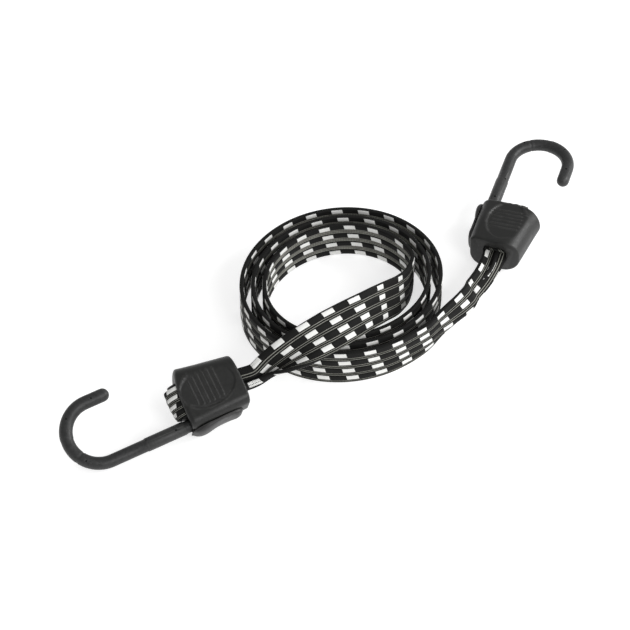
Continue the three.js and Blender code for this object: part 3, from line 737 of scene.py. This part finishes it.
def apply_modifiers(made):
    mesh = bpy.data.meshes.new_from_object(made.evaluated_get(bpy.context.evaluated_depsgraph_get()))
    made.modifiers.clear()
    made.data = mesh


def combine(made, tool, operation):
    change = made.modifiers.new(operation.lower(), "BOOLEAN")
    change.operation = operation
    change.solver = "EXACT"
    change.object = tool
    apply_modifiers(made)
    bpy.data.objects.remove(tool)


def finish_edges(made, width, angle=34, segments=2):
    bevel = made.modifiers.new("edges", "BEVEL")
    bevel.width = width
    bevel.segments = segments
    bevel.limit_method = "ANGLE"
    bevel.angle_limit = math.radians(angle)
    apply_modifiers(made)
    made.data.polygons.foreach_set("use_smooth", [True] * len(made.data.polygons))
    made.data.set_sharp_from_angle(angle=math.radians(angle))


def carved(x, y, z):
    """A point of the housing's outside, let down to the dish's floor where the dish reaches it."""
    reach = math.hypot((x - DISH_MIDDLE[0]) / DISH_HALF_SIZE[0], (y - DISH_MIDDLE[1]) / DISH_HALF_SIZE[1])
    inside = ease((1 - reach) * DISH_HALF_SIZE[0], -DISH_RIM_WIDTH / 2, DISH_RIM_WIDTH / 2)
    over = abs(z) - dish_floor(y)
    drop = (over + math.hypot(over, DISH_ROUNDING)) / 2
    return x, y, z - math.copysign(drop * inside, z)


def housing_ring(y, inset):
    share = mouth_share(y)
    half = mix(*HALF_THICKNESS, ease(-y, 0, THICKEST_FROM)) - inset
    radii = [radius - inset for radius in (FAR_CORNER, UPPER_SIDE_CORNER, LOWER_SIDE_CORNER)]
    ring = rounded_ring(
        y, -mix(*SIDE, share) + inset, mix(*FAR_SIDE, share) - inset, half, radii, CORNER_STEPS, SPAN_STEPS)
    mouth_part = 1 - ease(y, -HOUSING_REACH, -HOUSING_REACH * (1 - MOUTH_SWEEP_SHARE))
    hook_part = max(0, 1 + (y + HOOK_END_INSET) / (HOUSING_REACH * HOOK_END_SWEEP_SHARE))
    swept = []
    for x, y, z in ring:
        near_share = max(MOUTH_MIDDLE.x - x, 0) / (MOUTH_MIDDLE.x + SIDE[1])
        far_share = max(x, 0) / FAR_SIDE[0]
        y += mouth_part * MOUTH_SWEEP * near_share ** 2
        y -= hook_part * HOOK_END_SWEEP * far_share ** HOOK_END_SWEEP_POWER
        swept.append(carved(x, y, z) if abs(z) > DISH_DEPTH else (x, y, z))
    return swept


def grip_rib(unit, y, face):
    reach = (y - DISH_MIDDLE[1]) / DISH_HALF_SIZE[1]
    half_length = GRIP_RIB_SHARE * DISH_HALF_SIZE[0] * math.sqrt(1 - reach ** 2)
    floor = dish_floor(y)
    half = GRIP_RIB_WIDTH / 2
    outline = [(-half, -half), (half, -half), (half, 0), (half / 2, 1), (-half / 2, 1), (-half, 0)]
    return loft("rib", unit, [
        [(DISH_MIDDLE[0] + side * half_length, y + across,
          face * (floor + (height * GRIP_RIB_HEIGHT * rise if height > 0 else height)))
         for across, height in outline] for side, rise in GRIP_RIB_END_SHARES], housing_plastic)


def housing(name, unit):
    mouth_turns = [math.radians(90 * k / RIM_STEPS) for k in range(RIM_STEPS + 1)]
    start, end = -HOUSING_REACH + MOUTH_RIM, -HOOK_END_INSET - HOOK_RIM
    rings = [
        housing_ring(start - MOUTH_RIM * math.cos(turn), MOUTH_RIM * (1 - math.sin(turn)))
        for turn in mouth_turns]
    rings += [housing_ring(mix(start, end, k / HOUSING_SECTIONS), 0) for k in range(1, HOUSING_SECTIONS)]
    rings += [
        housing_ring(end + HOOK_RIM * math.sin(turn), HOOK_RIM * (1 - math.cos(turn)))
        for turn in mouth_turns]
    made = loft(name, unit, rings, housing_plastic)
    for face in (1, -1):
        for k in range(GRIP_RIBS):
            combine(made, grip_rib(unit, -GRIP_RIB_INSET - k * GRIP_RIB_PITCH, face), "UNION")
    bore = loft("bore", unit, [
        rounded_ring(
            y, -BORE_SIDE, BORE_FAR_SIDE, mix(*BORE_HALF, mouth_share(y)),
            (BORE_FAR_CORNER, BORE_CORNER, BORE_CORNER), RIM_STEPS)
        for y in (CUT_OVERRUN, MOUTH_WALL - HOUSING_REACH)], housing_plastic)
    combine(made, bore, "DIFFERENCE")
    mouth_slot = loft("mouth_slot", unit, [
        rounded_ring(
            y, MOUTH_MIDDLE.x - MOUTH_SLOT_WIDTH / 2 - flare, MOUTH_MIDDLE.x + MOUTH_SLOT_WIDTH / 2 + flare,
            MOUTH_SLOT_HEIGHT / 2 + flare, [MOUTH_SLOT_CORNER + flare] * 3, RIM_STEPS)
        for y, flare in (
            (MOUTH_WALL + CUT_OVERRUN - HOUSING_REACH, 0), (MOUTH_SLOT_FLARE / 2 - HOUSING_REACH, 0),
            (-MOUTH_SLOT_FLARE / 2 - HOUSING_REACH, MOUTH_SLOT_FLARE))], housing_plastic)
    combine(made, mouth_slot, "DIFFERENCE")
    slot_side = (-SIDE[0] - CUT_OVERRUN, 0)
    saddle_slot = loft("saddle_slot", unit, [
        [(x, y, z) for x, z in (
            (slot_side[0], -SADDLE_SLOT_HALF_WIDTH), (slot_side[1], -SADDLE_SLOT_HALF_WIDTH),
            (slot_side[1], SADDLE_SLOT_HALF_WIDTH), (slot_side[0], SADDLE_SLOT_HALF_WIDTH))]
        for y in (-HOOK_END_INSET - SADDLE_SLOT_LENGTH, CUT_OVERRUN)], housing_plastic)
    combine(made, saddle_slot, "DIFFERENCE")
    finish_edges(made, HOUSING_EDGE)
    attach(made, "root")
    return made


for side, unit in UNITS.items():
    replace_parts(housing(f"{side}_housing", unit), f"housing_{side}")

# Hook coats
# A grey plastic coat is moulded over each bent steel wire, thicker on the shank and towards the
# round tip. Small round pits are left where pins held the wire in the mould, and one fine ring.
COAT_RADIUS = 0.0037
SLEEVE_RADIUS = 0.004
SLEEVE_START = 0.0015
SLEEVE_END = 0.0255
SLEEVE_STEP = 0.0007
TIP_PART_RADIUS = 0.0039
TIP_PART_FROM = 79
TIP_PART_BLEND = 4
TIP_DEGREES = [0, 15, 30, 45, 58, 70, 80, 87]
RING_ANGLE = 121
CURL_DEGREE_STEP = 2
RING_DEPTH = 0.0002
SHANK_REACH = 0.0467
CURL_RADIUS = 0.0184
TIP_DROP = 0.0145
COAT_INSET = 0.0115
COAT_SIDES = 40
COAT_EDGE = 0.0001
COAT_EDGE_ANGLE = 40
PIT_RADIUS = 0.00065
PIT_DEPTH = 0.0011
PIT_SIDES = 14
PITS = [
    (0.0370, 0.0432), (0.0318, 0.0608), (0.0052, 0.0607), (0.0022, 0.0256), (0.0002, 0.0076)]

coat_plastic = moulded_finish(
    "coat_plastic", low=(0.014, 0.0145, 0.0145), high=(0.024, 0.0245, 0.025), wear_and_highlight=(0.06, 0.06, 0.058),
    roughness=0.46, specular=0.4, distance=0.00016, Patch_Scale=560)


def hook_path():
    """Places along the hook's middle line, each with its heading and the coat's radius there."""
    rows = []
    for y, radius in (
            (-COAT_INSET, COAT_RADIUS), (0, COAT_RADIUS), (SLEEVE_START, COAT_RADIUS),
            (SLEEVE_START + SLEEVE_STEP, SLEEVE_RADIUS), (SLEEVE_END, SLEEVE_RADIUS),
            (SLEEVE_END + SLEEVE_STEP, COAT_RADIUS), (mix(SLEEVE_END, SHANK_REACH, 0.5), COAT_RADIUS)):
        rows.append((0, y, 90, radius))
    for degrees in range(180, -1, -CURL_DEGREE_STEP):
        radius = mix(
            TIP_PART_RADIUS, COAT_RADIUS, ease(degrees, TIP_PART_FROM, TIP_PART_FROM + TIP_PART_BLEND))
        radius -= RING_DEPTH if abs(degrees - RING_ANGLE) < CURL_DEGREE_STEP else 0
        turn = math.radians(degrees)
        rows.append((
            CURL_RADIUS * (1 + math.cos(turn)), SHANK_REACH + CURL_RADIUS * math.sin(turn),
            degrees - 90, radius))
    tip = SHANK_REACH - TIP_DROP + TIP_PART_RADIUS
    rows += [(2 * CURL_RADIUS, mix(SHANK_REACH, tip, k / 5), -90, TIP_PART_RADIUS) for k in range(1, 5)]
    for degrees in TIP_DEGREES:
        turn = math.radians(degrees)
        rows.append((
            2 * CURL_RADIUS, tip - TIP_PART_RADIUS * math.sin(turn), -90, TIP_PART_RADIUS * math.cos(turn)))
    return rows


def hook_coat(name, unit, body):
    rings = []
    for x, y, heading, radius in hook_path():
        sideways = (-math.sin(math.radians(heading)), math.cos(math.radians(heading)))
        turns = [2 * math.pi * (k + 0.5) / COAT_SIDES for k in range(COAT_SIDES)]
        rings.append([
            (x + sideways[0] * radius * math.cos(turn), y + sideways[1] * radius * math.cos(turn),
             radius * math.sin(turn)) for turn in turns])
    made = loft(name, unit, rings, coat_plastic)
    for x, y in PITS:
        for face in (1, -1):
            turns = [2 * math.pi * k / PIT_SIDES for k in range(PIT_SIDES)]
            pit = loft("pit", unit, [
                [(x + PIT_RADIUS * math.cos(turn), y + PIT_RADIUS * math.sin(turn), face * z)
                 for turn in turns]
                for z in (COAT_RADIUS - PIT_DEPTH, COAT_RADIUS + PIT_DEPTH)], coat_plastic)
            combine(made, pit, "DIFFERENCE")
    finish_edges(made, COAT_EDGE, COAT_EDGE_ANGLE)
    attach(made, body)
    return made


for side, unit in UNITS.items():
    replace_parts(hook_coat(f"{side}_hook_coat", unit, f"{side}_hook"), f"hook_coat_{side}")

# Thumb saddles
# A plastic cap rides on each housing's narrow side, joined through the slot to the shank. Its
# crest rises at both ends to hold the thumb.
SADDLE_HALF_WIDTH = 0.0083
SADDLE_LENGTH = 0.032
SADDLE_INSET = 0.0005
SADDLE_CREST = 0.008
SADDLE_FOOT = 0.0005
SADDLE_EDGE = 0.0006
SADDLE_EDGE_ANGLE = 50
SADDLE_BULGE_POWER = 0.6
SADDLE_ARC_STEPS = 28
SADDLE_SECTIONS = 60
SEAT_GAP = 0.0003
# Shares of the length from the hook end, of the crest's height and of the half width
CREST_SHARES = [
    (0, 0.58, 0.36), (0.06, 0.81, 0.62), (0.12, 0.94, 0.8), (0.2, 1, 0.93), (0.29, 0.975, 1),
    (0.42, 0.865, 1), (0.52, 0.79, 1), (0.64, 0.765, 1), (0.78, 0.795, 0.95), (0.9, 0.835, 0.82),
    (0.96, 0.75, 0.66), (1, 0.6, 0.45)]

saddle_plastic = moulded_finish(
    "saddle_plastic", low=(0.0112, 0.0108, 0.0109), high=(0.016, 0.0155, 0.0157),
    wear_and_highlight=(0.06, 0.058, 0.058), roughness=0.46, specular=0.4, distance=0.00007)


def smooth_table(table, share):
    """A value row between a table's rows, eased so that it has no kinks."""
    rows = np.array(table)
    low = max(0, min(int(np.searchsorted(rows[:, 0], share)) - 1, len(rows) - 2))
    slopes = np.gradient(rows[:, 1:], rows[:, 0], axis=0)
    gap = rows[low + 1, 0] - rows[low, 0]
    t = (share - rows[low, 0]) / gap
    start, end = rows[low, 1:], rows[low + 1, 1:]
    return (
        (2 * t ** 3 - 3 * t ** 2 + 1) * start + (t ** 3 - 2 * t ** 2 + t) * gap * slopes[low]
        + (3 * t ** 2 - 2 * t ** 3) * end + (t ** 3 - t ** 2) * gap * slopes[low + 1])


def thumb_saddle(name, unit, body):
    rings = []
    for k in range(SADDLE_SECTIONS + 1):
        share = (1 - math.cos(math.pi * k / SADDLE_SECTIONS)) / 2
        crest, width = smooth_table(CREST_SHARES, share)
        y = -SADDLE_INSET - share * SADDLE_LENGTH
        inner = -mix(*SIDE, mouth_share(y)) - SEAT_GAP
        foot = inner - SADDLE_FOOT
        half = SADDLE_HALF_WIDTH * width
        ring = [(inner, y, half)]
        for j in range(SADDLE_ARC_STEPS + 1):
            turn = math.radians(90 - 180 * j / SADDLE_ARC_STEPS)
            bulge = max(0, math.cos(turn)) ** SADDLE_BULGE_POWER
            ring.append((mix(foot, -SADDLE_CREST * crest, bulge), y, half * math.sin(turn)))
        ring.append((inner, y, -half))
        rings.append(ring)
    made = loft(name, unit, rings, saddle_plastic)
    finish_edges(made, SADDLE_EDGE, SADDLE_EDGE_ANGLE, 3)
    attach(made, body)
    return made


for side, unit in UNITS.items():
    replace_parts(thumb_saddle(f"{side}_thumb_saddle", unit, f"{side}_hook"), f"thumb_saddle_{side}")

# Strap loops
# Inside each housing the strap comes up from the mouth, goes round the wedge's nose and back to a
# sewn tail. Its bend shows at the housing's hook end.
LOOP_WIDTH = 0.018
LOOP_SIDE = 0.0051
NOSE_RADIUS = 0.0048
NOSE_REACH = 0.0013
WEDGE_BACK_INSET = 0.024
WEDGE_BACK_HALF = 0.0056
LOOP_RISE_INSET = 0.0305
HEM_INSET = 0.0358
HEM_GAP = 0.0006
TAIL_LENGTH = 0.0026
LOOP_CROWN = 0.0008
LOOP_NOSE_STEPS = 24
LOOP_STEP = 0.0008
LOOP_TRAVEL_REACH = 0.0005
HEM_STEPS = 6
# From the mouth to the wedge's upper side: shares of the way and of the rise, gathered share
LOOP_RISE = [(0, 0, 0.86), (0.3, 0.18, 0.3), (0.6, 0.55, 0), (1, 1, 0)]
LOOP_DASHES = {"left": 0.0395, "right": 0.0445}


def loop_rows():
    """The loop's middle line in the unit: y, z, gathered share and how far round the nose."""
    rise = SEAT_GAP + STRAP_THICKNESS / 2
    nose_y = NOSE_REACH - NOSE_RADIUS
    nose = NOSE_RADIUS + rise
    back = WEDGE_BACK_HALF + rise
    slope = (back - nose) / (WEDGE_BACK_INSET + nose_y)
    far_back = back + slope * (LOOP_RISE_INSET - WEDGE_BACK_INSET)
    mouth_y = MOUTH_WALL + SEAT_GAP - HOUSING_REACH
    rows = [(mix(mouth_y, -LOOP_RISE_INSET, way), height * far_back, gathered, 0)
            for way, height, gathered in LOOP_RISE]
    rows.append((-WEDGE_BACK_INSET, back, 0, 0))
    for k in range(LOOP_NOSE_STEPS + 1):
        turn = math.radians(90 - 180 * k / LOOP_NOSE_STEPS)
        rows.append((nose_y + nose * math.cos(turn), nose * math.sin(turn), 0, math.cos(turn)))
    rows.append((-WEDGE_BACK_INSET, -back, 0, 0))
    fold_radius = (STRAP_THICKNESS + HEM_GAP) / 2
    fold_y = STRAP_THICKNESS / 2 + fold_radius - HEM_INSET
    for k in range(HEM_STEPS + 1):
        turn = math.radians(180 * k / HEM_STEPS)
        rows.append((
            fold_y - fold_radius * math.sin(turn), -back + fold_radius * (1 - math.cos(turn)), 0, 0))
    rows.append((fold_y + TAIL_LENGTH, -back + 2 * fold_radius, 0, 0))
    return np.array(rows)


loop_line = loop_rows()
loop_length = np.concatenate([[0], np.cumsum(np.linalg.norm(np.diff(loop_line[:, :2], axis=0), axis=1))])


def loop_frames(unit, upper_sign):
    across, along, up = (np.array(unit.col[k].xyz) for k in range(3))
    origin = np.array(unit.translation)

    def frames_at(lengths):
        y, z, gathered, nose = (np.interp(lengths, loop_length, loop_line[:, k]) for k in range(4))
        ahead_y, ahead_z, behind_y, behind_z = (
            np.interp(lengths + reach, loop_length, loop_line[:, k])
            for reach in (LOOP_TRAVEL_REACH, -LOOP_TRAVEL_REACH) for k in (0, 1))
        travel = np.column_stack([ahead_y - behind_y, ahead_z - behind_z])
        travel /= np.linalg.norm(travel, axis=1)[:, None]
        x = mix(LOOP_SIDE + LOOP_WIDTH / 2, MOUTH_MIDDLE.x, gathered)
        middle = origin + x[:, None] * across + y[:, None] * along + z[:, None] * up
        upper = np.tile(across * upper_sign, (len(lengths), 1))
        outward = -travel[:, 1:] * along + travel[:, :1] * up
        return middle, upper, outward, gathered, mix(LOOP_WIDTH / STRAP_WIDTH, 1, gathered), LOOP_CROWN * nose

    return frames_at


for (side, unit), upper_sign in zip(UNITS.items(), (1, -1)):
    frames_at = loop_frames(unit, upper_sign)
    lengths = np.linspace(0, loop_length[-1], round(loop_length[-1] / LOOP_STEP) + 1)
    loop = webbing(f"{side}_strap_loop", lengths, frames_at(lengths), side)
    turn_outwards(loop)
    loop_centres = [LOOP_DASHES[side] + k * DASH_SPACING for k in (-1, 0, 1)]
    marks = dashes(
        f"{side}_strap_loop_dashes", loop_centres, frames_at, side, loop_length[3], loop_length[-5],
        (loop_length[3], loop_length[-5]))
    turn_outwards(marks)
    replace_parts(loop, f"strap_loop_{side}")

# Wedges, hook wires and bartacks
# These stay as the solids have them. The wedge is moulded plastic, the wire drawn steel with fine
# lines from the die, and the bartack black thread in close stitches across the folded tail.
wedge_plastic = moulded_finish(
    "wedge_plastic", low=(0.006, 0.006, 0.006), high=(0.009, 0.009, 0.009), wear_and_highlight=(0.03, 0.03, 0.03),
    roughness=0.5, specular=0.4, distance=0.00006)

hook_steel, steel_tree, steel_shader = new_finish("hook_steel", 0.5)
steel_shader.inputs["Metallic"].default_value = 1
steel_place = steel_tree.nodes.new("ShaderNodeTexCoord").outputs["Object"]
die_lines = noise(steel_tree, steel_place, 2600, 5, 0.7)
steel_tree.links.new(
    blend_colours(steel_tree, die_lines, (0.42, 0.43, 0.44), (0.62, 0.63, 0.64)),
    steel_shader.inputs["Base Color"])
steel_tree.links.new(map_range(steel_tree, die_lines, 0.3, 0.7, 0.28, 0.45), steel_shader.inputs["Roughness"])
bump(steel_tree, steel_shader, die_lines, 0.00003)

STITCH_SCALE = 180
tack_thread, thread_tree, thread_shader = new_finish("tack_thread", 0.3)
stitches = thread_tree.nodes.new("ShaderNodeTexWave")
stitches.inputs["Scale"].default_value = STITCH_SCALE
stitches.inputs["Distortion"].default_value = 1.5
thread_tree.links.new(
    thread_tree.nodes.new("ShaderNodeTexCoord").outputs["Object"], stitches.inputs["Vector"])
# The thread is painted darker between the stitches' crests, a painted shade in the gaps
thread_tree.links.new(
    blend_colours(thread_tree, stitches.outputs["Fac"], (0.003, 0.003, 0.003), (0.010, 0.010, 0.010)),
    thread_shader.inputs["Base Color"])
thread_tree.links.new(
    map_range(thread_tree, stitches.outputs["Fac"], 0, 1, 0.85, 0.7), thread_shader.inputs["Roughness"])
bump(thread_tree, thread_shader, stitches.outputs["Fac"], 0.0002)

for node_name, finish in (("wedge", wedge_plastic), ("hook_core", hook_steel), ("tail_bartack", tack_thread)):
    for side in UNITS:
        carried = bpy.data.objects[f"{node_name}_{side}"]
        for slot in carried.material_slots:
            slot.material = finish

# Studio
# A plain pale floor under soft, even light, with a low soft light from the right and one from the
# front that brings out the white yarn.
FLOOR_HALF = 3
FLOOR_GLOW = 0.66
SKY_STRENGTH = 0.5

floor_data = bpy.data.meshes.new("floor")
floor_data.from_pydata(
    [(-FLOOR_HALF, -FLOOR_HALF, 0), (FLOOR_HALF, -FLOOR_HALF, 0), (FLOOR_HALF, FLOOR_HALF, 0),
     (-FLOOR_HALF, FLOOR_HALF, 0)], [], [(0, 1, 2, 3)])
floor = bpy.data.objects.new("floor", floor_data)
floor_paint, _, floor_shader = new_finish("floor_paint", 0.1)
floor_shader.inputs["Base Color"].default_value = (0.6, 0.6, 0.6, 1)
floor_shader.inputs["Roughness"].default_value = 0.9
floor_shader.inputs["Emission Color"].default_value = (1, 1, 1, 1)
floor_shader.inputs["Emission Strength"].default_value = FLOOR_GLOW
floor_data.materials.append(floor_paint)
bpy.context.scene.collection.objects.link(floor)

sky = bpy.data.worlds.new("studio")
sky.use_nodes = True
sky.node_tree.nodes["Background"].inputs["Color"].default_value = (1, 1, 1, 1)
sky.node_tree.nodes["Background"].inputs["Strength"].default_value = SKY_STRENGTH
bpy.context.scene.world = sky
bpy.context.scene.view_settings.view_transform = "Standard"


def softbox(name, place, size, power):
    light = bpy.data.lights.new(name, "AREA")
    light.shape = "DISK"
    light.size = size
    light.energy = power
    made = bpy.data.objects.new(name, light)
    made.location = place
    made.rotation_euler = (-Vector(place)).to_track_quat("-Z", "Y").to_euler()
    bpy.context.scene.collection.objects.link(made)


softbox("front_light", place=(0.9, -1.2, 1.1), size=0.9, power=14)
softbox("right_light", place=(1.4, 0.2, 0.75), size=0.8, power=16)
